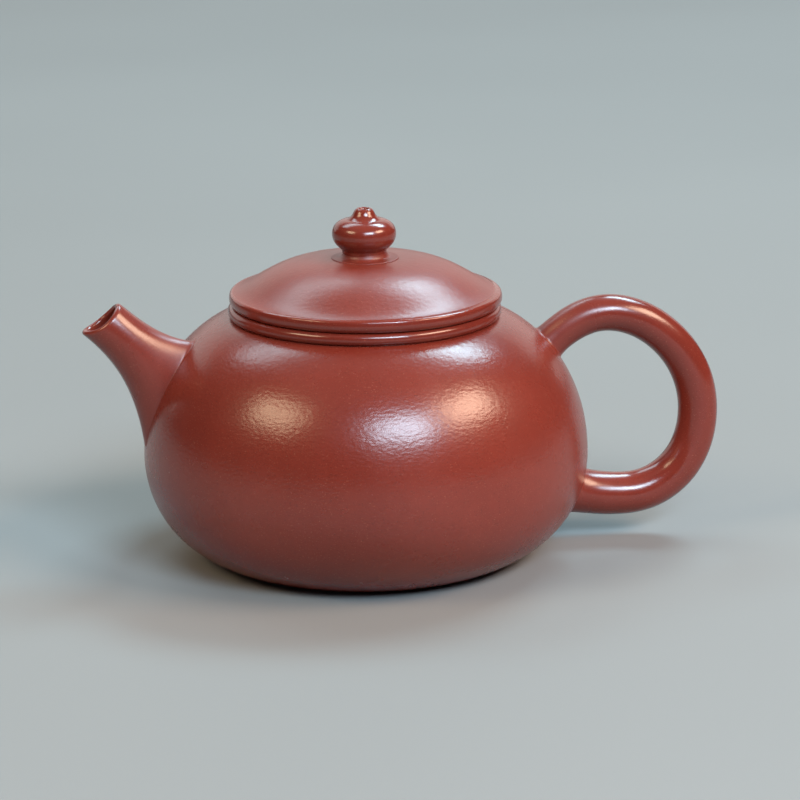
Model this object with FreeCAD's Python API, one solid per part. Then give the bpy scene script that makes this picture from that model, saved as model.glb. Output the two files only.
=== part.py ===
import FreeCAD, Part

import math
import os

# A round, squat clay teapot, about 260 ml, built up by hand from slabs, rings and coils of clay.
# Millimetres. The origin is the centre of the base on the table, +Z is up the pot's axis,
# the spout points to -X and the handle is at +X, both in the XZ plane.

V = FreeCAD.Vector

# belly: a strip of clay paddled round, closed below by the base disc and above by the shoulder disc
FOOT_R = 30.4  # outer edge of the ring that the pot stands on
BELLY_R = 48.75
EQUATOR_Z = 22.8
NECK_R = 28.7  # crease where the neck ring sits on the shoulder
NECK_Z = 53.2
WALL = 2.8

# base disc, pressed in a little at its centre
BASE_R = 29.0
LAND_INNER_R = 25.5
BASE_HOLLOW = 1.4
BASE_MIDDLE_R = 8.0
FLOOR_EDGE_Z = 3.3
FLOOR_CENTRE_Z = 4.2

# the belly's outline as control points of curves, (distance from the axis, height)
BELLY_LOWER = [(FOOT_R, 0), (36.6, 0.5), (BELLY_R, 7.7), (BELLY_R, EQUATOR_Z)]
BELLY_UPPER = [(BELLY_R, EQUATOR_Z), (BELLY_R, 42.8), (34.3, 53.0), (NECK_R, NECK_Z)]
HOLLOW_R = BELLY_R - WALL
HOLLOW_UPPER = [(NECK_R, NECK_Z - WALL), (33.6, 50.2), (HOLLOW_R, 41.2), (HOLLOW_R, EQUATOR_Z)]
HOLLOW_LOWER = [(HOLLOW_R, EQUATOR_Z), (HOLLOW_R, 9.8), (36.2, 3.8), (BASE_R, FLOOR_EDGE_Z)]

# mouth
MOUTH_R = 25.2
SEAT_Z = 55.8  # top of the neck ring, where the lid lies
SEAT_R = 28.9  # its outer edge
RING_BULGE_R = 29.8
RING_BULGE_Z = 54.4

# lid: a flat plate with a rounded edge, a dome on it, and a collar below that drops into the mouth
LID_R = 29.45
LID_WIDEST_Z = 57.1
LID_UNDERSIDE_R = 28.7
PLATE_TOP_Z = 58.2
PLATE_TOP_R = 29.25
RIDGE_R = 28.85  # the sharp ridge between the rounded edge and the brim
RIDGE_Z = 58.85
CROWN_Z = 65.9
CROWN_R = 7.2
LID_FLANGE_R = 24.9
LID_FLANGE_BORE_R = 22.6
LID_FLANGE_BOTTOM_Z = 50.2
LID_THICKNESS = 2.6
DOME_TOP = [(RIDGE_R, RIDGE_Z), (23.8, 60.2), (20.6, CROWN_Z), (CROWN_R, CROWN_Z)]
DOME_UNDER_Z = CROWN_Z - LID_THICKNESS
DOME_UNDER = [(CROWN_R, DOME_UNDER_Z), (19.0, DOME_UNDER_Z), (19.5, 59.0), (LID_FLANGE_BORE_R, PLATE_TOP_Z)]
VENT_R = 0.9

# knob: a flattened ball on a short neck, held by a collar of slip that thickens towards the neck
COLLAR_R = 7.45
COLLAR_RIM_Z = 66.2
COLLAR_RIM_R = 6.9
COLLAR_TOP_Z = 67.1
KNOB_NECK_R = 4.75
KNOB_NECK_TOP_R = 5.15
KNOB_NECK_TOP_Z = 68.0
KNOB_R = 6.9
KNOB_WIDEST_Z = 71.2
KNOB_SHOULDER_R = 3.1
KNOB_SHOULDER_Z = 74.6
KNOB_TIP_R = 1.9
KNOB_TIP_Z = 76.3
KNOB_TOP_R = 1.55
KNOB_TOP_Z = 76.8
DIMPLE_Z = 76.4
KNOB_LOWER = [(KNOB_NECK_TOP_R, KNOB_NECK_TOP_Z), (5.9, 68.75), (KNOB_R, 69.6), (KNOB_R, KNOB_WIDEST_Z)]
KNOB_UPPER = [(KNOB_R, KNOB_WIDEST_Z), (KNOB_R, 73.2), (5.4, 74.4), (KNOB_SHOULDER_R, KNOB_SHOULDER_Z)]
KNOB_TIP = [(KNOB_SHOULDER_R, KNOB_SHOULDER_Z), (2.3, 74.9), (2.4, 76.0), (KNOB_TIP_R, KNOB_TIP_Z)]

# spout: its outline seen from the side is two curves, from the lip down to the root. It flares to the
# root in that view only: seen from above it is narrow all the way.
SPOUT_UPPER = [(-52.9, 57.7), (-48.9, 54.2), (-44.4, 50.0), (-37.6, 48.8)]
SPOUT_LOWER = [(-61.3, 51.6), (-55.0, 46.1), (-50.1, 39.7), (-48.4, 26.8)]
SPOUT_LIP_HALF_WIDTH = 4.4
SPOUT_ROOT_HALF_WIDTH = 5.2
SPOUT_SECTIONS = 9
SPOUT_LIP_WALL = 1.25
SPOUT_ROOT_WALL = 4.6  # above and below the bore
SPOUT_ROOT_SIDE_WALL = 1.7
SPOUT_ROOT_INSET = 4.0  # how far the root's last section lies inside the belly's outline

# strainer: a pierced clay thimble in the wall behind the spout
STRAINER_AT = V(-41.8, 0, 39.5)  # on the wall's inner face
STRAINER_TILT = 29.0  # degrees above the horizontal, along the wall's normal
STRAINER_R = 4.3
STRAINER_THICKNESS = 1.1
STRAINER_HOLE_R = 0.65
STRAINER_RINGS = [(0.0, 1), (36.0, 6), (68.0, 9)]  # angle from the thimble's axis, number of holes

# handle: a rolled coil whose centre line is four curves, thinner at the top than at the bottom
HANDLE_CENTRE = [
    [(37.7, 41.2), (41.5, 45.8), (47.2, 51.2), (54.1, 51.2)],
    [(54.1, 51.2), (64.5, 51.2), (75.4, 40.6), (75.4, 28.2)],
    [(75.4, 28.2), (75.4, 15.5), (66.9, 9.5), (58.8, 9.5)],
    [(58.8, 9.5), (53.0, 9.5), (48.5, 10.4), (43.0, 12.4)],
]
HANDLE_TOP_R = 3.75
HANDLE_BOTTOM_R = 5.05
HANDLE_ROOT_FLARE = 1.3
HANDLE_ROOT_LENGTH = 9.0  # from a cut end to where the flare has died away
HANDLE_SECTIONS = 6  # per curve


def bezier_point(points, t):
    """A point (x, z) on a cubic curve."""
    s = 1.0 - t
    weights = (s**3, 3 * s * s * t, 3 * s * t * t, t**3)
    return tuple(sum(w * p[k] for w, p in zip(weights, points)) for k in (0, 1))


def bezier_direction(points, t):
    """The direction (x, z) of a cubic curve."""
    s = 1.0 - t
    legs = [(b[0] - a[0], b[1] - a[1]) for a, b in zip(points, points[1:])]
    weights = (s * s, 2 * s * t, t * t)
    return tuple(sum(w * p[k] for w, p in zip(weights, legs)) for k in (0, 1))


def curve(*points):
    """An edge in the XZ plane along a curve with these control points."""
    made = Part.BezierCurve()
    made.setPoles([V(x, 0, z) for x, z in points])
    return made.toShape()


def line(a, b):
    return Part.LineSegment(V(a[0], 0, a[1]), V(b[0], 0, b[1])).toShape()


def arc(a, middle, b):
    return Part.Arc(*[V(x, 0, z) for x, z in (a, middle, b)]).toShape()


def turned(edges):
    """The solid that a closed outline in the XZ plane sweeps around the pot's axis."""
    face = Part.Face(Part.Wire(edges))
    return face.revolve(V(0, 0, 0), V(0, 0, 1), 360)


def ring(inner_r, outer_r, bottom_z, top_z):
    outer = Part.makeCylinder(outer_r, top_z - bottom_z, V(0, 0, bottom_z))
    inner = Part.makeCylinder(inner_r, top_z - bottom_z, V(0, 0, bottom_z))
    return outer.cut(inner)


def lofted(sections):
    """A solid through ellipses given as (centre, tilt about Y in degrees, half height, half width)."""
    wires = []
    for centre, tilt, half_height, half_width in sections:
        if half_height > half_width:
            loop = Part.Ellipse(V(0, 0, 0), half_height, half_width)
        else:
            loop = Part.Circle(V(0, 0, 0), V(0, 0, 1), half_width)
        wire = Part.Wire(loop.toShape())
        wire.Placement = FreeCAD.Placement(centre, FreeCAD.Rotation(V(0, 1, 0), tilt))
        wires.append(wire)
    return Part.makeLoft(wires, True)


def belly_outline():
    """The outer outline, from the standing ring to the neck's crease."""
    return [curve(*BELLY_LOWER), curve(*BELLY_UPPER)]


def belly_solid():
    """The belly without its hollow, to trim what is stuck to its outside."""
    closing = [line((NECK_R, NECK_Z), (0, NECK_Z)), line((0, NECK_Z), (0, 0)), line((0, 0), (FOOT_R, 0))]
    return turned(belly_outline() + closing)


def strainer_placement():
    """Local +Z points out of the pot along the wall's normal."""
    return FreeCAD.Placement(STRAINER_AT, FreeCAD.Rotation(V(0, 1, 0), STRAINER_TILT - 90.0))


def placed(shape, placement):
    moved = shape.copy()
    moved.Placement = placement
    return moved


def belly_wall():
    inside = [line(BELLY_UPPER[-1], HOLLOW_UPPER[0]), curve(*HOLLOW_UPPER), curve(*HOLLOW_LOWER)]
    underside = [line(HOLLOW_LOWER[-1], (BASE_R, 0)), line((BASE_R, 0), (FOOT_R, 0))]
    wall = turned(belly_outline() + inside + underside)
    hole = Part.makeCylinder(STRAINER_R, 8 * WALL, V(0, 0, -4 * WALL))
    return wall.cut(placed(hole, strainer_placement()))


def base_disc():
    """Dished below and crowned above, both around a flat middle."""
    middle_top = (BASE_MIDDLE_R, FLOOR_CENTRE_Z)
    middle_bottom = (BASE_MIDDLE_R, BASE_HOLLOW)
    return turned(
        [
            line((0, BASE_HOLLOW), middle_bottom),
            curve(middle_bottom, (BASE_MIDDLE_R * 2, BASE_HOLLOW), (LAND_INNER_R, 0)),
            line((LAND_INNER_R, 0), (BASE_R, 0)),
            line((BASE_R, 0), (BASE_R, FLOOR_EDGE_Z)),
            curve((BASE_R, FLOOR_EDGE_Z), (BASE_MIDDLE_R * 2, FLOOR_CENTRE_Z), middle_top),
            line(middle_top, (0, FLOOR_CENTRE_Z)),
            line((0, FLOOR_CENTRE_Z), (0, BASE_HOLLOW)),
        ]
    )


def shoulder_disc():
    """What is left of the disc that closed the belly, once the mouth is cut out of it."""
    return ring(MOUTH_R, NECK_R, NECK_Z - WALL, NECK_Z)


def neck_ring():
    """The bead around the mouth."""
    seat_edge = (SEAT_R, SEAT_Z)
    return turned(
        [
            arc((NECK_R, NECK_Z), (RING_BULGE_R, RING_BULGE_Z), seat_edge),
            line(seat_edge, (MOUTH_R, SEAT_Z)),
            line((MOUTH_R, SEAT_Z), (MOUTH_R, NECK_Z)),
            line((MOUTH_R, NECK_Z), (NECK_R, NECK_Z)),
        ]
    )


def spout_sections(wall_lip, wall_root, side_wall_root):
    """Ellipses that span the two outlines, less a wall that thickens towards the root."""
    sections = []
    for i in range(SPOUT_SECTIONS):
        t = i / (SPOUT_SECTIONS - 1)
        upper = bezier_point(SPOUT_UPPER, t)
        lower = bezier_point(SPOUT_LOWER, t)
        wall = wall_lip + (wall_root - wall_lip) * t * t
        side_wall = wall_lip + (side_wall_root - wall_lip) * t
        half_width = SPOUT_LIP_HALF_WIDTH + (SPOUT_ROOT_HALF_WIDTH - SPOUT_LIP_HALF_WIDTH) * t - side_wall
        sections.append(spout_section(upper, lower, wall, half_width))
    inset_upper = (upper[0] + SPOUT_ROOT_INSET, upper[1] - SPOUT_ROOT_INSET)
    inset_lower = (lower[0] + SPOUT_ROOT_INSET, lower[1] - SPOUT_ROOT_INSET * 0.5)
    sections.append(spout_section(inset_upper, inset_lower, wall_root, half_width))
    return sections


def spout_section(upper, lower, wall, half_width):
    centre = V((upper[0] + lower[0]) / 2, 0, (upper[1] + lower[1]) / 2)
    half_height = math.dist(upper, lower) / 2 - wall
    rise = math.degrees(math.atan2(upper[1] - lower[1], upper[0] - lower[0]))
    return centre, -rise, half_height, half_width


def spout():
    outside = lofted(spout_sections(0.0, 0.0, 0.0))
    bore = spout_sections(SPOUT_LIP_WALL, SPOUT_ROOT_WALL, SPOUT_ROOT_SIDE_WALL)
    lip_centre, *lip_shape = bore[0]
    past_lip = lip_centre + (lip_centre - bore[1][0]) * 0.5
    inside = lofted([(past_lip, *lip_shape)] + bore)
    return outside.cut(inside).cut(belly_solid())


def strainer():
    shell = Part.makeSphere(STRAINER_R).fuse(Part.makeCylinder(STRAINER_R, WALL))
    cavity = Part.makeSphere(STRAINER_R - STRAINER_THICKNESS)
    cavity = cavity.fuse(Part.makeCylinder(STRAINER_R - STRAINER_THICKNESS, STRAINER_R * 2))
    above = Part.makeCylinder(STRAINER_R * 2, STRAINER_R * 2, V(0, 0, WALL))
    thimble = shell.cut(above).cut(cavity)
    for angle, count in STRAINER_RINGS:
        for i in range(count):
            turn = FreeCAD.Rotation(360.0 * i / count, 0, 0)
            lean = FreeCAD.Rotation(V(0, 1, 0), 180.0 - angle)
            drill = Part.makeCylinder(STRAINER_HOLE_R, STRAINER_R * 1.5)
            thimble = thimble.cut(placed(drill, FreeCAD.Placement(V(0, 0, 0), turn.multiply(lean))))
    return placed(thimble, strainer_placement()).common(belly_solid())


def handle():
    sections = []
    stations = [(c, i / HANDLE_SECTIONS) for c in HANDLE_CENTRE for i in range(HANDLE_SECTIONS)]
    stations.append((HANDLE_CENTRE[-1], 1.0))
    for number, (points, t) in enumerate(stations):
        x, z = bezier_point(points, t)
        dx, dz = bezier_direction(points, t)
        along = number / (len(stations) - 1)
        from_end = min(math.dist((x, z), HANDLE_CENTRE[0][0]), math.dist((x, z), HANDLE_CENTRE[-1][-1]))
        flare = max(0.0, 1.0 - from_end / HANDLE_ROOT_LENGTH) ** 2 * HANDLE_ROOT_FLARE
        radius = HANDLE_TOP_R + (HANDLE_BOTTOM_R - HANDLE_TOP_R) * along + flare
        sections.append((V(x, 0, z), 90.0 - math.degrees(math.atan2(dz, dx)), radius, radius))
    return lofted(sections).cut(belly_solid())


def lid_plate():
    """The flat ring that closes the lid below. Its rounded edge is the lid's rim."""
    lower_edge = (LID_UNDERSIDE_R, SEAT_Z)
    upper_edge = (PLATE_TOP_R, PLATE_TOP_Z)
    return turned(
        [
            line((LID_FLANGE_BORE_R, SEAT_Z), lower_edge),
            arc(lower_edge, (LID_R, LID_WIDEST_Z), upper_edge),
            line(upper_edge, (LID_FLANGE_BORE_R, PLATE_TOP_Z)),
            line((LID_FLANGE_BORE_R, PLATE_TOP_Z), (LID_FLANGE_BORE_R, SEAT_Z)),
        ]
    )


def lid_flange():
    """The collar that drops into the mouth."""
    return ring(LID_FLANGE_BORE_R, LID_FLANGE_R, LID_FLANGE_BOTTOM_Z, SEAT_Z)


def lid_dome():
    """The edge goes on rounding over up to the ridge. Inside it a flat brim rises into the dome."""
    plate_edge = (PLATE_TOP_R, PLATE_TOP_Z)
    return turned(
        [
            line((LID_FLANGE_BORE_R, PLATE_TOP_Z), plate_edge),
            curve(plate_edge, (PLATE_TOP_R - 0.1, RIDGE_Z - 0.2), (RIDGE_R, RIDGE_Z)),
            curve(*DOME_TOP),
            line((CROWN_R, CROWN_Z), (VENT_R, CROWN_Z)),
            line((VENT_R, CROWN_Z), (VENT_R, DOME_UNDER_Z)),
            line((VENT_R, DOME_UNDER_Z), (CROWN_R, DOME_UNDER_Z)),
            curve(*DOME_UNDER),
        ]
    )


def knob_collar():
    """The slip under the knob: a thin rounded rim, then a hollow slope up to the neck."""
    foot = (COLLAR_R, CROWN_Z)
    rim = (COLLAR_RIM_R, COLLAR_RIM_Z)
    neck = (KNOB_NECK_R, COLLAR_TOP_Z)
    return turned(
        [
            line((VENT_R, CROWN_Z), foot),
            curve(foot, (COLLAR_R, COLLAR_RIM_Z), rim),
            curve(rim, (KNOB_NECK_R + 0.5, COLLAR_RIM_Z + 0.2), neck),
            line(neck, (VENT_R, COLLAR_TOP_Z)),
            line((VENT_R, COLLAR_TOP_Z), (VENT_R, CROWN_Z)),
        ]
    )


def knob():
    """Neck, ball and a small stepped tip, with a dimple where the vent comes out."""
    dimple = (VENT_R, DIMPLE_Z)
    return turned(
        [
            line((VENT_R, COLLAR_TOP_Z), (KNOB_NECK_R, COLLAR_TOP_Z)),
            line((KNOB_NECK_R, COLLAR_TOP_Z), KNOB_LOWER[0]),
            curve(*KNOB_LOWER),
            curve(*KNOB_UPPER),
            curve(*KNOB_TIP),
            arc(KNOB_TIP[-1], (KNOB_TOP_R, KNOB_TOP_Z), dimple),
            line(dimple, (VENT_R, COLLAR_TOP_Z)),
        ]
    )


PIECES = {
    "belly_wall": belly_wall,
    "base_disc": base_disc,
    "shoulder_disc": shoulder_disc,
    "neck_ring": neck_ring,
    "spout": spout,
    "spout_strainer": strainer,
    "handle": handle,
    "lid_dome": lid_dome,
    "lid_plate": lid_plate,
    "lid_flange": lid_flange,
    "knob_collar": knob_collar,
    "knob": knob,
}


def main():
    os.makedirs("parts", exist_ok=True)
    for name, make in PIECES.items():
        shape = make()
        solids = shape.Solids
        print(f"{name}: {len(solids)} solid, {shape.Volume:.1f} mm3, valid {shape.isValid()}")
        shape.exportStep(f"parts/{name}.step")


main()
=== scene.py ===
import math

import bmesh
import bpy
import numpy as np
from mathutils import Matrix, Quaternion, Vector, noise


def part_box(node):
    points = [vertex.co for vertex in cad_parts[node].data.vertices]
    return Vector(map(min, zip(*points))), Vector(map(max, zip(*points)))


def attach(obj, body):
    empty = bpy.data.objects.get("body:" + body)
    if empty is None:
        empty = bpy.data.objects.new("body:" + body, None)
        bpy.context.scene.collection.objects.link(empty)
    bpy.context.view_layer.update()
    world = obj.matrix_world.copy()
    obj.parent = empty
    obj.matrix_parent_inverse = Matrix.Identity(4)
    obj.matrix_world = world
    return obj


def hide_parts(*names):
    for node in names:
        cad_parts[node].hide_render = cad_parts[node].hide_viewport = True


# The looks of a hand-built clay teapot, made around the CAD frame. Blender's units are metres.
# Sizes below are in millimetres of the design, and MM turns them into the frame's metres. An outline's
# points are (distance from the axis, height). The spout points to -X and the handle to +X.

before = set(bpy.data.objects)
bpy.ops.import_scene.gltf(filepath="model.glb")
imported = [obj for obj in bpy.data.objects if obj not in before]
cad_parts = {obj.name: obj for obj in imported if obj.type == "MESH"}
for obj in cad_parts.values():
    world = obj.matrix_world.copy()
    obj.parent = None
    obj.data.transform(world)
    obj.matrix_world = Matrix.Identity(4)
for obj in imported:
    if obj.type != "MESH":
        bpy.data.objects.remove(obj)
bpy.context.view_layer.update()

NECK_Z = 53.2  # the belly wall's top, where the neck ring stands
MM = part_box("belly_wall")[1].z / NECK_Z
AROUND = 288  # segments of a full turn
CREASE = 35.0  # edges that turn more than this many degrees stay sharp

# Where the pieces of clay meet one another
BASE_R = 29.0
BASE_JOINT_Z = 3.3  # the top of the base's edge
FOOT_R = 30.4  # the belly wall's outside on the table
SHOULDER_R = 28.7  # the shoulder disc's edge, inside the belly wall
SHOULDER_UNDER_Z = 50.4
MOUTH_R = 25.2
NECK_SINK_Z = 53.1  # the neck ring's underside, a little into the shoulder
FLANGE_R = 24.9
PLATE_R = 22.6  # the hole in the lid's plate
PLATE_Z = 55.82
RIDGE_R = 29.55  # where the dome meets the plate on the lid's rim
RIDGE_Z = 58.2
CROWN_R = 7.2  # the flat on which the knob's slip lies
CROWN_Z = 65.85
KNOB_NECK_R = 4.75
KNOB_Z = 67.0
VENT_R = 0.9

# ---------------------------------------------------------------- curves and meshes


def bezier(*points, steps=24):
    """Points along a curve of any degree, its last point left out."""
    t = np.linspace(0.0, 1.0, steps + 1)[:-1, None]
    layers = [np.array(p, float) * np.ones_like(t) for p in points]
    while len(layers) > 1:
        layers = [(1 - t) * a + t * b for a, b in zip(layers, layers[1:])]
    return layers[0]


def straight(a, b, steps=4):
    return bezier(a, b, steps=steps)


def outline(*runs, closed=True):
    """Joins runs of points. An open outline's last run is its end point, which bezier() leaves out."""
    points = np.vstack(runs)
    return np.vstack([points, points[:1]]) if closed else points


def grid_faces(rows, columns):
    """Quads between rows of points that close on themselves."""
    i = np.arange(rows - 1)[:, None] * columns
    j = np.arange(columns)[None, :]
    k = (j + 1) % columns
    return np.stack([i + j, i + k, i + columns + k, i + columns + j], axis=-1).reshape(-1, 4)


def make_mesh(name, grid):
    """A mesh object from a grid of rows of points, welded where rows meet."""
    rows, columns, _ = grid.shape
    mesh = bpy.data.meshes.new(name)
    mesh.from_pydata(grid.reshape(-1, 3).tolist(), [], grid_faces(rows, columns).tolist())
    weld(mesh)
    mesh.shade_smooth()
    mesh.set_sharp_from_angle(angle=math.radians(CREASE))
    piece = bpy.data.objects.new(name, mesh)
    bpy.context.scene.collection.objects.link(piece)
    return piece


def weld(mesh, distance=1e-7):
    """Merges points that lie together, within a distance in metres, and turns all faces outwards."""
    work = bmesh.new()
    work.from_mesh(mesh)
    bmesh.ops.remove_doubles(work, verts=work.verts, dist=distance)
    bmesh.ops.dissolve_degenerate(work, dist=distance / 10, edges=work.edges)
    bmesh.ops.recalc_face_normals(work, faces=work.faces)
    work.to_mesh(mesh)
    work.free()


# ---------------------------------------------------------------- a hand's unevenness


SWELL_LENGTH = 34.0
DENT_LENGTH = 9.0
SEED_STEP = (17.3, 5.1, 9.7)  # how far apart two seeds lie in the noise


def unevenness(points, seed, swell, dent):
    """How far the hand's work is off the true shape, in millimetres, at points in millimetres."""
    offset = Vector([seed * step for step in SEED_STEP])
    out = np.empty(len(points))
    for n, p in enumerate(points):
        v = Vector(p)
        broad = noise.noise(v / SWELL_LENGTH + offset, noise_basis="PERLIN_NEW")
        small = noise.noise(v / DENT_LENGTH + offset, noise_basis="PERLIN_NEW")
        out[n] = swell * broad + dent * small
    return out


EVEN_CENTRE_R = 10.0  # the unevenness fades towards the axis from here


def lathe(name, profile, seed=0, swell=0.0, dent=0.0, around=AROUND, shift=0.0):
    """Turns an outline round the axis. The unevenness moves points along the radius. The shift, a number
    or a function of the height, moves them along X."""
    angles = np.linspace(0.0, 2 * math.pi, around, endpoint=False)
    ring = np.stack([np.cos(angles), np.sin(angles)], axis=-1)
    r = profile[:, 0][:, None] * np.ones(around)
    z = profile[:, 1][:, None] * np.ones(around)
    if swell or dent:
        points = np.stack([r * ring[:, 0], r * ring[:, 1], z], axis=-1).reshape(-1, 3)
        off = unevenness(points, seed, swell, dent).reshape(r.shape)
        r = r + off * np.clip(r / EVEN_CENTRE_R, 0.0, 1.0)
    across = shift(z) if callable(shift) else shift
    grid = np.stack([r * ring[:, 0] + across, r * ring[:, 1], z], axis=-1) * MM
    return make_mesh(name, grid)


# ---------------------------------------------------------------- the belly's skin

BELLY_SEED, BELLY_SWELL, BELLY_DENT = 3, 0.16, 0.03
BELLY_R = 48.75
BELLY_WIDEST_Z = 22.8
BELLY_LOWER = [(FOOT_R, 0), (36.6, 0.5), (BELLY_R, 7.7), (BELLY_R, BELLY_WIDEST_Z)]
BELLY_UPPER = [(BELLY_R, BELLY_WIDEST_Z), (BELLY_R, 42.8), (34.3, 53.0), (SHOULDER_R, NECK_Z)]
BELLY_OUTER = np.vstack([bezier(*BELLY_LOWER, steps=70), bezier(*BELLY_UPPER, steps=100), BELLY_UPPER[-1:]])
INNER_R = 45.95
INNER_UPPER = [(SHOULDER_R, SHOULDER_UNDER_Z), (33.6, 50.2), (INNER_R, 41.2), (INNER_R, BELLY_WIDEST_Z)]
INNER_LOWER = [(INNER_R, BELLY_WIDEST_Z), (INNER_R, 9.8), (36.2, 3.8), (BASE_R, BASE_JOINT_Z)]
BELLY_LEAN = 0.32  # how far the paddled belly is pushed towards the handle
LEAN_FULL_Z = 16.0  # it is pushed this far from here up
LEAN_EASING_Z = 40.0  # and less again from here up
LEAN_EASING_RISE = 13.0
LEAN_EASED_SHARE = 0.35  # lost at the end of that rise


def belly_lean(z):
    """How far the belly is pushed towards the handle at a height, in millimetres."""
    rise = np.clip(z / LEAN_FULL_Z, 0.0, 1.0)
    rise = rise * rise * (3.0 - 2.0 * rise)
    eased = LEAN_EASED_SHARE * np.clip((z - LEAN_EASING_Z) / LEAN_EASING_RISE, 0.0, 1.0)
    return BELLY_LEAN * rise * (1.0 - eased)


def skin_gap(points):
    """Distance along the radius from the belly's outer skin, positive outside, in millimetres."""
    flat = points.reshape(-1, 3).copy()
    flat[:, 0] -= belly_lean(flat[:, 2])
    skin = np.interp(flat[:, 2], BELLY_OUTER[:, 1], BELLY_OUTER[:, 0])
    skin = skin + unevenness(flat, BELLY_SEED, BELLY_SWELL, BELLY_DENT)
    return (np.hypot(flat[:, 0], flat[:, 1]) - skin).reshape(points.shape[:-1])


def skin_distance(points):
    """Shortest distance from the belly's outer skin, negative inside, in millimetres."""
    radial = skin_gap(points)
    z = points[..., 2]
    r = radial + np.interp(z, BELLY_OUTER[:, 1], BELLY_OUTER[:, 0])
    away = np.full(r.shape, np.inf)
    for skin_r, skin_z in bezier(*BELLY_UPPER, steps=500):
        away = np.minimum(away, np.hypot(r - skin_r, z - skin_z))
    for skin_r, skin_z in bezier(*BELLY_LOWER, steps=300):
        away = np.minimum(away, np.hypot(r - skin_r, z - skin_z))
    return np.where((radial < 0.0) & (z < NECK_Z), -away, away)


def onto_skin(points, depth):
    """Moves points along the radius to a depth under the belly's skin, in millimetres."""
    gap = skin_gap(points) + depth
    lean = belly_lean(points[..., 2])
    x = points[..., 0] - lean
    radius = np.hypot(x, points[..., 1])
    scale = (radius - gap) / radius
    return np.stack([x * scale + lean, points[..., 1] * scale, points[..., 2]], axis=-1)


def interpolate_rows(column, places):
    """Points of one lengthwise line at fractional row numbers, on a smooth curve through its rows."""
    row = np.clip(places.astype(int), 1, len(column) - 3)
    s = (places - row)[:, None]
    before, here, after, beyond = (column[row + k] for k in (-1, 0, 1, 2))
    cubic_part = 3 * (here - after) + beyond - before
    square_part = 2 * before - 5 * here + 4 * after - beyond
    return here + 0.5 * s * (after - before + s * (square_part + s * cubic_part))


LONGEST_BLEND = 4.2  # how far a spout's or handle's root reaches over the skin
RUN_UP_ROWS = 6  # rows before the blend that are spaced afresh along with it
BLEND_ROWS = 34
FILLET_ROWS = 12
LANDING_DEPTH = 0.03  # the root's edge lies this far under the skin


def rooted(rings, centres, blend):
    """Ends a tube on the belly. Every lengthwise line leaves its course where it comes within the blend's
    width of the skin, and curves out onto the skin. Each line has a width of its own, in millimetres."""
    gap = skin_distance(rings)
    free = int(np.argmax((gap < blend).any(axis=1))) - RUN_UP_ROWS
    columns = []
    for k in range(rings.shape[1]):
        column = rings[:, k]
        cross = int(np.argmax(gap[:, k] < 0.0))
        at = crossing(gap[:, k], cross, 0.0)
        touch = interpolate_rows(column, np.array([at]))[0]
        stop = crossing(gap[:, k], int(np.argmax(gap[:, k] < blend[k])), blend[k])
        kept = interpolate_rows(column, np.linspace(free, stop, BLEND_ROWS))
        leg = min(np.linalg.norm(kept[-1] - touch), LONGEST_BLEND)
        away = touch - centres[min(cross, len(centres) - 1)]
        normal = skin_normal(touch)
        away = away - normal * away.dot(normal)
        away = away / np.linalg.norm(away)
        landing = onto_skin((touch + away * leg)[None], LANDING_DEPTH)[0]
        turn = bezier(kept[-1], touch, landing, steps=FILLET_ROWS)[1:]
        columns.append(np.vstack([kept, turn, [landing]]))
    return np.concatenate([rings[:free], np.stack(columns, axis=1)])


def crossing(values, after, level):
    """The fractional row where falling values pass a level, just before the row after."""
    return after - 1 + (values[after - 1] - level) / (values[after - 1] - values[after])


def skin_normal(point):
    """The belly's outward normal."""
    z = BELLY_OUTER[:, 1]
    r = BELLY_OUTER[:, 0]
    step = 0.3
    slope = (np.interp(point[2] + step, z, r) - np.interp(point[2] - step, z, r)) / (2 * step)
    flat = np.array([point[0], point[1]]) / math.hypot(point[0], point[1])
    normal = np.array([flat[0], flat[1], -slope])
    return normal / np.linalg.norm(normal)


def section_ring(centre, across, radius, points):
    """A circle in the plane of the Y axis and the direction across, which lies in the XZ plane."""
    angles = np.linspace(0.0, 2 * math.pi, points, endpoint=False)[:, None]
    side = np.array([0.0, 1.0, 0.0])
    return centre + radius * (np.cos(angles) * across + np.sin(angles) * side)


# ---------------------------------------------------------------- the pot


STRAINER_AT = (-41.8, 0.0, 39.5)  # on the wall's inner face
STRAINER_TILT = 29.0  # degrees above the horizontal
STRAINER_R = 4.3
CUT_WELD = 2e-6  # metres, closes the slivers that the cut leaves


def make_belly():
    piece = lathe(
        "belly",
        outline(
            BELLY_OUTER[:-1],
            straight((SHOULDER_R, NECK_Z), (SHOULDER_R, SHOULDER_UNDER_Z), steps=3),
            bezier(*INNER_UPPER, steps=50),
            bezier(*INNER_LOWER, steps=40),
            straight((BASE_R, BASE_JOINT_Z), (BASE_R, 0.0), steps=3),
            straight((BASE_R, 0.0), (FOOT_R, 0.0), steps=2),
        ),
        BELLY_SEED,
        BELLY_SWELL,
        BELLY_DENT,
        shift=belly_lean,
    )
    pierce(piece)
    return piece


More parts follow.
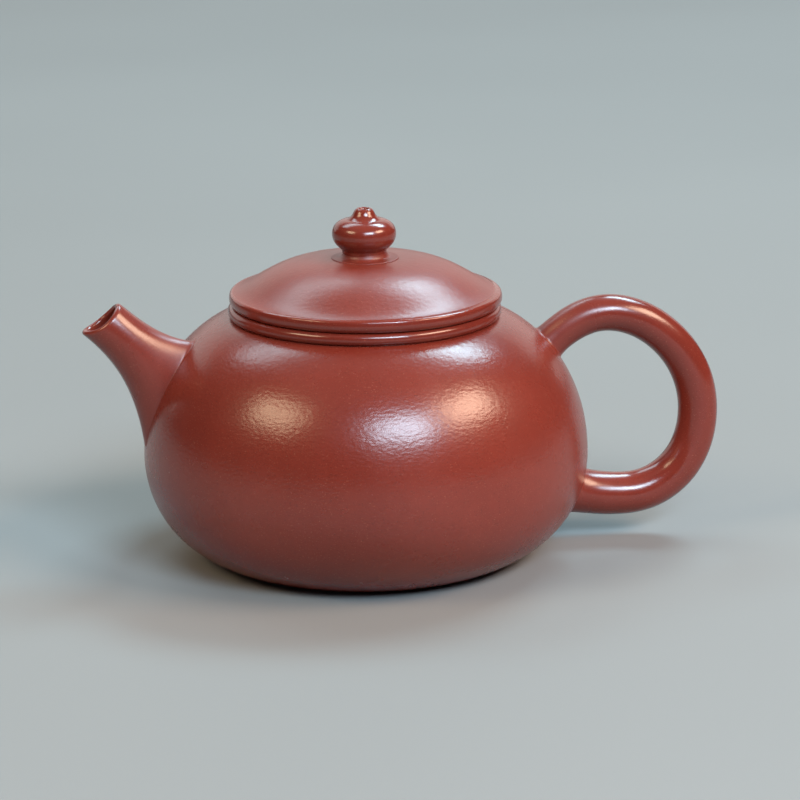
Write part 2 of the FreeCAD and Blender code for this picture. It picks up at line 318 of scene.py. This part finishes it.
def pierce(belly):
    """Opens the round hole in the wall that the strainer sits in."""
    drill = bpy.data.objects.new("drill", bpy.data.meshes.new("drill"))
    shape = bmesh.new()
    bmesh.ops.create_cone(
        shape,
        cap_ends=True,
        segments=96,
        radius1=STRAINER_R * MM,
        radius2=STRAINER_R * MM,
        depth=4 * STRAINER_R * MM,
    )
    shape.to_mesh(drill.data)
    shape.free()
    drill.location = Vector(STRAINER_AT) * MM
    drill.rotation_euler = (0.0, math.radians(STRAINER_TILT - 90.0), 0.0)
    bpy.context.scene.collection.objects.link(drill)
    cut = belly.modifiers.new("hole", "BOOLEAN")
    cut.operation = "DIFFERENCE"
    cut.solver = "EXACT"
    cut.object = drill
    whole = belly.data
    pierced = bpy.data.meshes.new_from_object(belly.evaluated_get(bpy.context.evaluated_depsgraph_get()))
    belly.modifiers.clear()
    belly.data = pierced
    pierced.name = whole.name
    weld(pierced, CUT_WELD)
    pierced.set_sharp_from_angle(angle=math.radians(CREASE))
    bpy.data.meshes.remove(whole)
    bpy.data.objects.remove(drill)


def make_base():
    """A disc that stands on a flat ring and is pressed in at the middle."""
    return lathe(
        "base",
        outline(
            straight((0, 4.2), (8, 4.2)),
            bezier((8, 4.2), (16, 4.2), (BASE_R, BASE_JOINT_Z), steps=20),
            straight((BASE_R, BASE_JOINT_Z), (BASE_R, 0.12), steps=3),
            bezier((BASE_R, 0.12), (BASE_R, 0), (28.8, 0), steps=4),
            straight((28.8, 0), (26, 0)),
            bezier((26, 0), (25.5, 0), (25.1, 0.05), (24.4, 0.2), steps=6),
            bezier((24.4, 0.2), (20, 1.1), (15, 1.4), (8, 1.4), steps=20),
            straight((8, 1.4), (0, 1.4)),
            [(0, 1.4)],
            closed=False,
        ),
        seed=5,
        dent=0.03,
    )


def make_shoulder():
    """What is left of the disc that closed the belly, around the mouth."""
    return lathe(
        "shoulder",
        outline(
            straight((MOUTH_R, NECK_Z), (SHOULDER_R, NECK_Z)),
            straight((SHOULDER_R, NECK_Z), (SHOULDER_R, SHOULDER_UNDER_Z)),
            straight((SHOULDER_R, SHOULDER_UNDER_Z), (25.8, SHOULDER_UNDER_Z)),
            bezier((25.8, SHOULDER_UNDER_Z), (MOUTH_R, SHOULDER_UNDER_Z), (MOUTH_R, 51.0), steps=6),
            straight((MOUTH_R, 51.0), (MOUTH_R, NECK_Z)),
        ),
    )


NECK_SHIFT = 0.2  # towards the handle


def make_neck_ring():
    """A rounded bead on a thin line of slip."""
    return lathe(
        "neck_bead",
        outline(
            straight((MOUTH_R, NECK_SINK_Z), (MOUTH_R, 55.45)),
            bezier((MOUTH_R, 55.45), (MOUTH_R, 55.8), (25.55, 55.8), steps=6),
            straight((25.55, 55.8), (28.7, 55.8)),
            bezier((28.7, 55.8), (29.4, 55.72), (29.8, 55.15), (29.8, 54.5), steps=16),
            bezier((29.8, 54.5), (29.8, 53.85), (29.4, 53.4), (28.95, 53.28), steps=14),
            bezier((28.95, 53.28), (28.85, 53.2), (29.0, 53.12), steps=5),
            bezier((29.0, 53.12), (29.2, 53.05), (29.35, 52.9), steps=5),
            straight((29.35, 52.9), (28.2, 52.7)),
            straight((28.2, 52.7), (28.2, NECK_SINK_Z)),
            straight((28.2, NECK_SINK_Z), (MOUTH_R, NECK_SINK_Z)),
        ),
        seed=4,
        swell=0.05,
        dent=0.02,
        shift=NECK_SHIFT,
    )


SPOUT_UPPER = [(-52.9, 57.7), (-48.9, 54.2), (-44.4, 50.0), (-37.6, 48.8)]
SPOUT_LOWER = [(-61.3, 51.6), (-55.0, 46.1), (-50.2, 39.4), (-48.5, 26.0)]
SPOUT_UPPER_SINK = np.array([6.0, -5.0])  # how far the outlines go on under the skin, along X and Z
SPOUT_LOWER_SINK = np.array([4.0, -5.0])
SPOUT_SINK_ROWS = 15
SPOUT_LIP_HALF_WIDTH = 4.4
SPOUT_ROOT_HALF_WIDTH = 5.2
SPOUT_BULGE = 0.6  # how much further out each side is halfway
SPOUT_LIP_WALL = 1.3
SPOUT_ROOT_WALL = 4.6  # above and below the bore
SPOUT_ROOT_SIDE_WALL = 1.7
SPOUT_MOUTH_DIP = 0.045  # how much later the sides of the mouth begin, as a share of the spout's length
SPOUT_ROWS = 150
BORE_ROWS = 60
LIP_ROWS = 7  # in each half of the lip's rounding
LIP_CUT_ROWS = 2  # rows of the outside that the rounding takes the place of
LIP_HEIGHT = 0.62 * SPOUT_LIP_WALL
LIP_SHOULDER = 0.5 * SPOUT_LIP_WALL  # how high the rounding stays full
CLOSING_ROWS = 4  # across the wall under the belly's skin
SPOUT_BLEND = 0.04  # the width of the root's blend around most of it
SPOUT_TOP_BLEND = 0.9  # how much wider it is at the very top
SPOUT_SINK = 0.6  # how far under the skin the spout's wall turns back into the bore


def cubic(points, t):
    s = 1.0 - t
    weights = np.stack([s**3, 3 * s * s * t, 3 * s * t * t, t**3], axis=-1)
    return weights @ np.array(points, float)


def spout_rings(wall_lip, wall_root, side_wall_root, rows, columns=96):
    """Ellipses across the two outlines, drawn in by the wall's thickness, and their centres. Past the root
    they sink into the belly."""
    angles = np.linspace(0.0, 2 * math.pi, columns, endpoint=False)
    dip = SPOUT_MOUTH_DIP * np.sin(angles) ** 2
    run = np.linspace(0.0, 1.0, rows)[:, None]
    t = dip + (1.0 - dip) * run
    upper = cubic(SPOUT_UPPER, t)
    lower = cubic(SPOUT_LOWER, t)
    beyond = np.linspace(0.0, 1.0, SPOUT_SINK_ROWS + 1)[1:, None, None]
    upper = np.concatenate([upper, upper[-1:] + beyond * SPOUT_UPPER_SINK])
    lower = np.concatenate([lower, lower[-1:] + beyond * SPOUT_LOWER_SINK])
    t = np.concatenate([t, np.ones((SPOUT_SINK_ROWS, columns))])
    wall = wall_lip + (wall_root - wall_lip) * t * t
    middle = (upper + lower) / 2
    reach = np.linalg.norm(upper - lower, axis=-1, keepdims=True)
    across = (upper - lower) / reach
    half_height = reach / 2 - wall[..., None]
    half_width = SPOUT_LIP_HALF_WIDTH + (SPOUT_ROOT_HALF_WIDTH - SPOUT_LIP_HALF_WIDTH) * t
    half_width = half_width + SPOUT_BULGE * 4 * t * (1 - t) - (wall_lip + (side_wall_root - wall_lip) * t)
    x_z = middle + across * half_height * np.cos(angles)[:, None]
    y = half_width * np.sin(angles)
    rings = np.stack([x_z[..., 0], y, x_z[..., 1]], axis=-1)
    centres = np.stack([middle[:, 0, 0], 0 * middle[:, 0, 0], middle[:, 0, 1]], axis=-1)
    return rings, centres


def one_side(columns):
    """1 at the first point of a ring of points, 0 at the point across from it."""
    return 0.5 + 0.5 * np.cos(np.linspace(0.0, 2 * math.pi, columns, endpoint=False))


def turned_rows(start, control, end, count):
    """Rows of points on a curve from one row to another, without the two of them."""
    share = np.linspace(0.0, 1.0, count + 2)[1:-1, None, None]
    return (1 - share) ** 2 * start + 2 * share * (1 - share) * control + share**2 * end


def make_spout():
    """The outside, a rounded lip and the bore in one closed skin."""
    outer, centres = spout_rings(0.0, 0.0, 0.0, SPOUT_ROWS)
    outer = rooted(outer, centres, SPOUT_BLEND + SPOUT_TOP_BLEND * one_side(outer.shape[1]) ** 6)
    bore, _ = spout_rings(SPOUT_LIP_WALL, SPOUT_ROOT_WALL, SPOUT_ROOT_SIDE_WALL, BORE_ROWS)
    bore = bore[1:BORE_ROWS][::-1]
    forward = outer[0] - outer[3]
    forward = forward / np.linalg.norm(forward, axis=-1, keepdims=True)
    outer = outer[LIP_CUT_ROWS:]
    rim_out = outer[0]
    rim_in = bore[-1]
    peak = (rim_out + rim_in) / 2 + forward * LIP_HEIGHT
    lip_inside = turned_rows(rim_in, rim_in + forward * LIP_SHOULDER, peak, LIP_ROWS)
    lip_outside = turned_rows(peak, rim_out + forward * LIP_SHOULDER, rim_out, LIP_ROWS)
    buried = onto_skin(outer[-1], SPOUT_SINK)
    closing = np.linspace(0.0, 1.0, CLOSING_ROWS + 2)[1:-1, None, None]
    closing_rows = buried + closing * (bore[0] - buried)
    grid = np.concatenate([outer, [buried], closing_rows, bore, lip_inside, [peak], lip_outside, outer[:1]])
    return make_mesh("spout_tube", grid * MM)


HANDLE_CENTRE = [
    [(37.7, 41.2), (41.5, 45.8), (47.2, 51.2), (54.1, 51.2)],
    [(54.1, 51.2), (64.5, 51.2), (75.4, 40.6), (75.4, 28.2)],
    [(75.4, 28.2), (75.4, 15.5), (66.9, 9.5), (58.8, 9.5)],
    [(58.8, 9.5), (53.0, 9.5), (48.5, 10.4), (43.0, 12.4)],
]
HANDLE_SEED, HANDLE_SWELL, HANDLE_DENT = 8, 0.1, 0.05
HANDLE_TOP_R = 3.75
HANDLE_BOTTOM_R = 5.05
HANDLE_ROOT_FLARE = 1.3
HANDLE_ROOT_LENGTH = 9.0
HANDLE_STEPS = 60  # rows per curve
HANDLE_COLUMNS = 80
HANDLE_UPPER_BLEND = 0.6
HANDLE_LOWER_BLEND = 1.0  # towards the middle of the ring
HANDLE_UNDERSIDE_BLEND = 2.4  # how much wider the lower root's blend is on its underside
HANDLE_SINK = 0.8  # how far under the skin the coil ends


def make_handle():
    """A rolled coil bent into a ring, both ends worked into the belly."""
    path = np.vstack([bezier(*c, steps=HANDLE_STEPS) for c in HANDLE_CENTRE] + [[HANDLE_CENTRE[-1][-1]]])
    travelled = np.append(0.0, np.cumsum(np.linalg.norm(np.diff(path, axis=0), axis=1)))
    direction = np.gradient(path, travelled, axis=0)
    direction /= np.linalg.norm(direction, axis=1, keepdims=True)
    along = np.linspace(0.0, 1.0, len(path))
    from_end = np.minimum(
        np.linalg.norm(path - path[0], axis=1), np.linalg.norm(path - path[-1], axis=1)
    )
    flare = np.clip(1.0 - from_end / HANDLE_ROOT_LENGTH, 0.0, None) ** 2 * HANDLE_ROOT_FLARE
    radius = HANDLE_TOP_R + (HANDLE_BOTTOM_R - HANDLE_TOP_R) * along + flare
    rings = []
    centres = []
    for (x, z), (dx, dz), r in zip(path, direction, radius):
        centre = np.array([x, 0.0, z])
        centres.append(centre)
        rings.append(section_ring(centre, np.array([-dz, 0.0, dx]), r, HANDLE_COLUMNS))
    rings = np.array(rings)
    centres = np.array(centres)
    outward = rings - centres[:, None]
    outward /= np.linalg.norm(outward, axis=-1, keepdims=True)
    off = unevenness(rings.reshape(-1, 3), HANDLE_SEED, HANDLE_SWELL, HANDLE_DENT).reshape(rings.shape[:2])
    rings = rings + outward * off[..., None]
    half = len(rings) // 2
    lower_blend = HANDLE_LOWER_BLEND + HANDLE_UNDERSIDE_BLEND * one_side(HANDLE_COLUMNS)
    lower = rooted(rings[half:], centres[half:], lower_blend)
    upper_blend = np.full(HANDLE_COLUMNS, HANDLE_UPPER_BLEND)
    upper = rooted(rings[: half + 1][::-1], centres[: half + 1][::-1], upper_blend)
    grid = np.concatenate([upper[::-1], lower[1:]])
    first = onto_skin(grid[0], HANDLE_SINK)
    last = onto_skin(grid[-1], HANDLE_SINK)
    first_middle = np.broadcast_to(first.mean(axis=0), first.shape)
    last_middle = np.broadcast_to(last.mean(axis=0), last.shape)
    grid = np.concatenate([[first_middle], [first], grid, [last], [last_middle]])
    return make_mesh("handle_coil", grid * MM)


# ---------------------------------------------------------------- the lid

LID_SEED, LID_SWELL, LID_DENT = 6, 0.06, 0.02
LID_SHIFT = 0.45  # the lid's top and rim sit this far off the collar below them, towards the handle
KNOB_SHIFT = 0.2  # the knob is set a little off the axis too
SLIP_SHIFT = 0.35
UNDER_Z = 63.3  # the dome's underside at the vent
KNOB_R = 6.97


def make_lid_dome():
    """From the ridge of the rim over the flat brim up to the crown, and back under."""
    return lathe(
        "lid_top",
        outline(
            straight((PLATE_R, RIDGE_Z), (RIDGE_R, RIDGE_Z)),
            bezier((RIDGE_R, RIDGE_Z), (29.48, 58.42), (29.25, 58.56), steps=12),
            bezier((29.25, 58.56), (29.13, 58.65), (28.95, 58.66), steps=5),
            bezier((28.95, 58.66), (24.2, 59.8), (20.6, 65.8), (CROWN_R, CROWN_Z), steps=110),
            straight((CROWN_R, CROWN_Z), (VENT_R, CROWN_Z), steps=6),
            straight((VENT_R, CROWN_Z), (VENT_R, UNDER_Z), steps=3),
            straight((VENT_R, UNDER_Z), (CROWN_R, UNDER_Z), steps=4),
            bezier((CROWN_R, UNDER_Z), (19.0, UNDER_Z), (19.5, 59.0), (PLATE_R, RIDGE_Z), steps=30),
        ),
        LID_SEED,
        LID_SWELL,
        LID_DENT,
        shift=LID_SHIFT,
    )


def make_lid_rim():
    """The plate under the dome, whose edge is the lid's rounded rim."""
    return lathe(
        "lid_rim",
        outline(
            straight((PLATE_R, PLATE_Z), (28.2, PLATE_Z)),
            bezier((28.2, PLATE_Z), (28.95, 55.85), (29.3, 56.1), (29.5, 56.45), steps=12),
            bezier((29.5, 56.45), (29.73, 56.85), (29.8, 57.5), (RIDGE_R, RIDGE_Z), steps=24),
            straight((RIDGE_R, RIDGE_Z), (PLATE_R, RIDGE_Z)),
            straight((PLATE_R, RIDGE_Z), (PLATE_R, PLATE_Z)),
        ),
        LID_SEED,
        LID_SWELL,
        LID_DENT,
        shift=LID_SHIFT,
    )


def make_lid_flange():
    """The collar under the lid, which keeps it in the mouth."""
    return lathe(
        "lid_collar",
        outline(
            straight((FLANGE_R, PLATE_Z), (FLANGE_R, 50.7)),
            bezier((FLANGE_R, 50.7), (FLANGE_R, 50.2), (24.3, 50.2), steps=6),
            straight((24.3, 50.2), (23.2, 50.2)),
            bezier((23.2, 50.2), (PLATE_R, 50.2), (PLATE_R, 50.8), steps=6),
            straight((PLATE_R, 50.8), (PLATE_R, PLATE_Z)),
            straight((PLATE_R, PLATE_Z), (FLANGE_R, PLATE_Z)),
        ),
    )


def make_knob_collar():
    """A thin rounded rim of slip, uneven all round, then a hollow slope up to the knob's neck."""
    return lathe(
        "knob_slip",
        outline(
            straight((VENT_R, 65.8), (CROWN_R, 65.78)),
            bezier((CROWN_R, 65.78), (7.45, 65.83), (7.4, 66.02), (7.1, 66.04), steps=12),
            bezier((7.1, 66.04), (6.6, 66.06), (6.2, 65.99), (5.7, 66.05), steps=12),
            bezier((5.7, 66.05), (5.1, 66.15), (4.9, 66.5), (KNOB_NECK_R, 67.15), steps=12),
            straight((KNOB_NECK_R, 67.15), (VENT_R, 67.15)),
            straight((VENT_R, 67.15), (VENT_R, 65.8)),
        ),
        seed=9,
        swell=0.1,
        dent=0.16,
        around=192,
        shift=SLIP_SHIFT,
    )


def make_knob():
    """A flattened ball on a short neck, with a stepped tip around the vent."""
    return lathe(
        "knob_ball",
        outline(
            straight((VENT_R, KNOB_Z), (KNOB_NECK_R, KNOB_Z)),
            straight((KNOB_NECK_R, KNOB_Z), (4.8, 67.3), steps=3),
            bezier((4.8, 67.3), (4.9, 67.75), (4.95, 67.85), (5.14, 68.0), steps=8),
            bezier((5.14, 68.0), (5.95, 68.75), (KNOB_R, 69.6), (KNOB_R, 71.2), steps=30),
            bezier((KNOB_R, 71.2), (KNOB_R, 73.1), (5.6, 74.15), (3.7, 74.38), steps=36),
            bezier((3.7, 74.38), (3.1, 74.68), (2.75, 74.95), (2.45, 75.5), steps=14),
            bezier((2.45, 75.5), (2.15, 76.15), (1.9, 76.72), (1.35, 76.75), steps=12),
            bezier((1.35, 76.75), (1.1, 76.75), (0.95, 76.5), (VENT_R, 76.1), steps=10),
            straight((VENT_R, 76.1), (VENT_R, KNOB_Z), steps=12),
        ),
        seed=10,
        swell=0.06,
        dent=0.04,
        around=160,
        shift=KNOB_SHIFT,
    )


# ---------------------------------------------------------------- clay


class Nodes:
    """A small helper to write node trees down in order."""

    def __init__(self, name):
        self.material = bpy.data.materials.new(name)
        self.material.use_nodes = True
        self.tree = self.material.node_tree
        self.tree.nodes.clear()

    def add(self, kind, inputs=None, **settings):
        node = self.tree.nodes.new(kind)
        for key, value in settings.items():
            setattr(node, key, value)
        for key, value in (inputs or {}).items():
            if isinstance(value, bpy.types.NodeSocket):
                self.tree.links.new(value, node.inputs[key])
            else:
                node.inputs[key].default_value = value
        return node

    def noise(self, vector, scale, detail=3.0, roughness=0.5):
        inputs = {"Vector": vector, "Scale": scale, "Detail": detail, "Roughness": roughness}
        return self.add("ShaderNodeTexNoise", inputs).outputs["Fac"]

    def ramp(self, value, *stops):
        node = self.add("ShaderNodeValToRGB", {"Fac": value})
        elements = node.color_ramp.elements
        while len(elements) < len(stops):
            elements.new(0.5)
        for element, (position, colour) in zip(elements, stops):
            element.position = position
            element.color = (*colour, 1.0)
        return node.outputs["Color"]

    def remap(self, value, low, high, to_low, to_high, smooth=False):
        inputs = {"Value": value, "From Min": low, "From Max": high, "To Min": to_low, "To Max": to_high}
        kind = "SMOOTHSTEP" if smooth else "LINEAR"
        return self.add("ShaderNodeMapRange", inputs, interpolation_type=kind).outputs["Result"]

    def mix(self, factor, a, b):
        node = self.tree.nodes.new("ShaderNodeMix")
        node.data_type = "RGBA"
        for socket, value in ((node.inputs[0], factor), (node.inputs[6], a), (node.inputs[7], b)):
            if isinstance(value, bpy.types.NodeSocket):
                self.tree.links.new(value, socket)
            else:
                socket.default_value = value
        return node.outputs[2]


CLAY_DARK = (0.185, 0.023, 0.013)
CLAY_MIDDLE = (0.212, 0.027, 0.015)
CLAY_PALE = (0.243, 0.033, 0.019)
MOTTLE = (0.172, 0.023, 0.013, 1.0)
DARK_GRIT = (0.085, 0.015, 0.010, 1.0)
PALE_GRIT = (0.42, 0.14, 0.085, 1.0)


def toned(colour, tone):
    return tuple(c * t for c, t in zip(colour, tone))


def clay(name, tone, rough, peel, grain, zone=None):
    """Fired red-brown clay. tone scales its colour, rough is (smooth, dull), peel and grain are the
    heights of the wrinkles and of the grit in metres. A zone (near, far, factor near, factor far) changes
    the roughness with the distance from the pot's axis, in millimetres."""
    n = Nodes(name)
    place = n.add("ShaderNodeTexCoord").outputs["Object"]
    flat = n.add("ShaderNodeMapping", {"Vector": place, "Scale": (1.0, 1.0, 1.9)}).outputs["Vector"]

    clouds = n.noise(place, 26.0, detail=4.0)
    colour = n.ramp(
        clouds,
        (0.34, toned(CLAY_DARK, tone)),
        (0.5, toned(CLAY_MIDDLE, tone)),
        (0.68, toned(CLAY_PALE, tone)),
    )
    mottle = n.remap(n.noise(place, 420.0), 0.35, 0.65, 0.0, 0.22)
    colour = n.mix(mottle, colour, MOTTLE)
    dark_grit = n.remap(n.noise(place, 3100.0, detail=1.0), 0.63, 0.72, 0.0, 0.45)
    colour = n.mix(dark_grit, colour, DARK_GRIT)
    pale_grit = n.remap(n.noise(flat, 2600.0, detail=1.0), 0.66, 0.74, 0.0, 0.35)
    colour = n.mix(pale_grit, colour, PALE_GRIT)

    dull = n.remap(n.noise(place, 75.0, detail=5.0, roughness=0.6), 0.3, 0.7, rough[0], rough[1])
    if zone:
        near, far, factor_near, factor_far = zone
        across = n.add("ShaderNodeVectorMath", {0: place, 1: (1.0, 1.0, 0.0)}, operation="MULTIPLY")
        length = n.add("ShaderNodeVectorMath", {0: across.outputs["Vector"]}, operation="LENGTH")
        distance = length.outputs["Value"]
        share = n.remap(distance, near * MM, far * MM, factor_near, factor_far, smooth=True)
        dull = n.add("ShaderNodeMath", {0: dull, 1: share}, operation="MULTIPLY").outputs["Value"]

    wrinkles = n.noise(flat, 900.0, detail=2.0, roughness=0.45)
    bump = n.add("ShaderNodeBump", {"Strength": 1.0, "Distance": peel, "Height": wrinkles})
    grit = n.noise(place, 5200.0, detail=2.0)
    fine = n.add(
        "ShaderNodeBump",
        {"Strength": 1.0, "Distance": grain, "Height": grit, "Normal": bump.outputs["Normal"]},
    )
    shader = n.add(
        "ShaderNodeBsdfPrincipled",
        {
            "Base Color": colour,
            "Roughness": dull,
            "IOR": 1.6,
            "Normal": fine.outputs["Normal"],
        },
    )
    n.add("ShaderNodeOutputMaterial", {"Surface": shader.outputs["BSDF"]})
    return n.material


def floor_material():
    n = Nodes("pale_floor")
    place = n.add("ShaderNodeTexCoord").outputs["Object"]
    soft = n.noise(place, 3.0, detail=2.0)
    colour = n.ramp(soft, (0.3, (0.255, 0.255, 0.25)), (0.7, (0.275, 0.275, 0.27)))
    shader = n.add("ShaderNodeBsdfPrincipled", {"Base Color": colour, "Roughness": 0.75})
    n.add("ShaderNodeOutputMaterial", {"Surface": shader.outputs["BSDF"]})
    return n.material


# ---------------------------------------------------------------- stage, lights and camera


FLOOR_REACH = 6.0  # metres from the pot


def make_stage():
    mesh = bpy.data.meshes.new("floor")
    corners = [(x * FLOOR_REACH, y * FLOOR_REACH, 0) for x, y in ((-1, -1), (1, -1), (1, 1), (-1, 1))]
    mesh.from_pydata(corners, [], [(0, 1, 2, 3)])
    floor = bpy.data.objects.new("floor", mesh)
    bpy.context.scene.collection.objects.link(floor)
    mesh.materials.append(floor_material())


def make_world():
    world = bpy.data.worlds.new("studio")
    world.use_nodes = True
    background = world.node_tree.nodes["Background"]
    background.inputs["Color"].default_value = (0.80, 0.86, 0.90, 1.0)
    background.inputs["Strength"].default_value = 0.04
    bpy.context.scene.world = world
    bpy.context.scene.view_settings.view_transform = "Standard"


def polar(azimuth, elevation, distance):
    """A direction and distance from the pot. Azimuth 0 is the front (-Y), 90 is +X."""
    a, e = math.radians(azimuth), math.radians(elevation)
    return Vector((math.sin(a) * math.cos(e), -math.cos(a) * math.cos(e), math.sin(e))) * distance


LIGHT_DISTANCE = 1.5  # metres


def make_light(name, azimuth, elevation, width, height, power, colour, target):
    """A rectangular panel facing the pot. Its width and height are angles as seen from the pot."""
    light = bpy.data.lights.new(name, "AREA")
    light.shape = "RECTANGLE"
    light.size = 2 * LIGHT_DISTANCE * math.tan(math.radians(width / 2))
    light.size_y = 2 * LIGHT_DISTANCE * math.tan(math.radians(height / 2))
    light.energy = power
    light.color = colour
    lamp = bpy.data.objects.new(name, light)
    offset = polar(azimuth, elevation, LIGHT_DISTANCE)
    lamp.location = target + offset
    lamp.rotation_mode = "QUATERNION"
    lamp.rotation_quaternion = (-offset).to_track_quat("-Z", "Y")
    bpy.context.scene.collection.objects.link(lamp)


LIGHTS = [
    # name, azimuth, elevation, width and height in degrees, power in watts, colour
    ("warm_left", -67, 40, 24, 16, 7.6, (1.0, 0.78, 0.51)),
    ("warm_right", 60, 40, 27, 17, 17.0, (1.0, 0.70, 0.51)),
    ("window_left", 3, 37, 13, 14, 7.5, (0.62, 0.82, 1.0)),
    ("window_right", 20, 37, 15, 14, 13.7, (0.62, 0.83, 1.0)),
    ("bar_left", -158, 51, 34, 14, 5.6, (0.64, 0.91, 1.0)),
    ("bar_right", 137, 52, 26, 13, 14.5, (0.55, 0.86, 1.0)),
    ("backdrop", 178, 18, 90, 30, 6.8, (1.0, 0.96, 0.93)),
    ("ceiling", 0, 88, 60, 60, 2.5, (1.0, 0.85, 0.80)),
]


def make_lights():
    middle = Vector((0.0, 0.0, 40.0 * MM))
    for name, azimuth, elevation, width, height, power, colour in LIGHTS:
        make_light(name, azimuth, elevation, width, height, power, colour, middle)


CAMERA_AIM = (7.93, 0.0, 33.46)
CAMERA_AZIMUTH = -9.653
CAMERA_ELEVATION = 14.968
CAMERA_ROLL = -0.247
CAMERA_DISTANCE = 711.86
CAMERA_LENS = 145.66  # for a sensor 36 mm wide


def make_camera():
    aim = Vector(CAMERA_AIM) * MM
    back = polar(CAMERA_AZIMUTH, CAMERA_ELEVATION, CAMERA_DISTANCE * MM)
    camera = bpy.data.objects.new("camera", bpy.data.cameras.new("camera"))
    camera.data.lens = CAMERA_LENS
    camera.data.sensor_width = 36.0
    camera.data.clip_start = 0.01
    camera.location = aim + back
    camera.rotation_mode = "QUATERNION"
    level = (-back).to_track_quat("-Z", "Y")
    camera.rotation_quaternion = level @ Quaternion((0.0, 0.0, 1.0), math.radians(CAMERA_ROLL))
    bpy.context.scene.collection.objects.link(camera)
    bpy.context.scene.camera = camera


# ---------------------------------------------------------------- putting it together

MICRON = 1e-6
RIM_ZONE = (28.3, 28.8, 1.0, 0.45)  # the lid's rim is smoother than its top
ROOT_ZONE = (42.0, 58.0, 1.8, 1.0)  # spout and handle are duller at their roots
BURNISHED = clay("clay_burnished", (1.0, 1.0, 1.0), (0.23, 0.30), 50 * MICRON, 4 * MICRON)
LID_TOP = clay("clay_lid_top", (1.05, 1.1, 1.12), (0.30, 0.37), 40 * MICRON, 4 * MICRON, RIM_ZONE)
POLISHED = clay("clay_polished", (0.92, 0.90, 0.92), (0.15, 0.22), 10 * MICRON, 2 * MICRON)
COILS = clay("clay_coils", (0.95, 0.95, 0.97), (0.16, 0.24), 14 * MICRON, 2 * MICRON, ROOT_ZONE)
SLIP = clay("clay_slip", (0.98, 0.98, 1.0), (0.36, 0.44), 30 * MICRON, 4 * MICRON)
PLAIN = clay("clay_plain", (1.08, 1.15, 1.2), (0.55, 0.72), 60 * MICRON, 10 * MICRON)

PIECES = [
    # how it is made, body, the CAD node it stands for, its material and the CAD material slot
    (make_belly, "pot", "belly_wall", BURNISHED, "burnished_clay"),
    (make_base, "pot", "base_disc", PLAIN, "burnished_clay"),
    (make_shoulder, "pot", "shoulder_disc", PLAIN, "plain_clay"),
    (make_neck_ring, "pot", "neck_ring", POLISHED, "polished_clay"),
    (make_spout, "pot", "spout", COILS, "polished_clay"),
    (make_handle, "pot", "handle", COILS, "polished_clay"),
    (make_lid_dome, "lid", "lid_dome", LID_TOP, "burnished_clay"),
    (make_lid_rim, "lid", "lid_plate", POLISHED, "polished_clay"),
    (make_lid_flange, "lid", "lid_flange", PLAIN, "plain_clay"),
    (make_knob_collar, "lid", "knob_collar", SLIP, "polished_clay"),
    (make_knob, "lid", "knob", POLISHED, "polished_clay"),
]


def make_pieces():
    for make, body, node, material, slot in PIECES:
        piece = make()
        piece.data.materials.clear()
        piece.data.materials.append(material)
        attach(piece, body)
        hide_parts(node)
    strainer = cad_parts["spout_strainer"]
    strainer.data.materials.clear()
    strainer.data.materials.append(PLAIN)


make_world()
make_stage()
make_lights()
make_camera()
make_pieces()
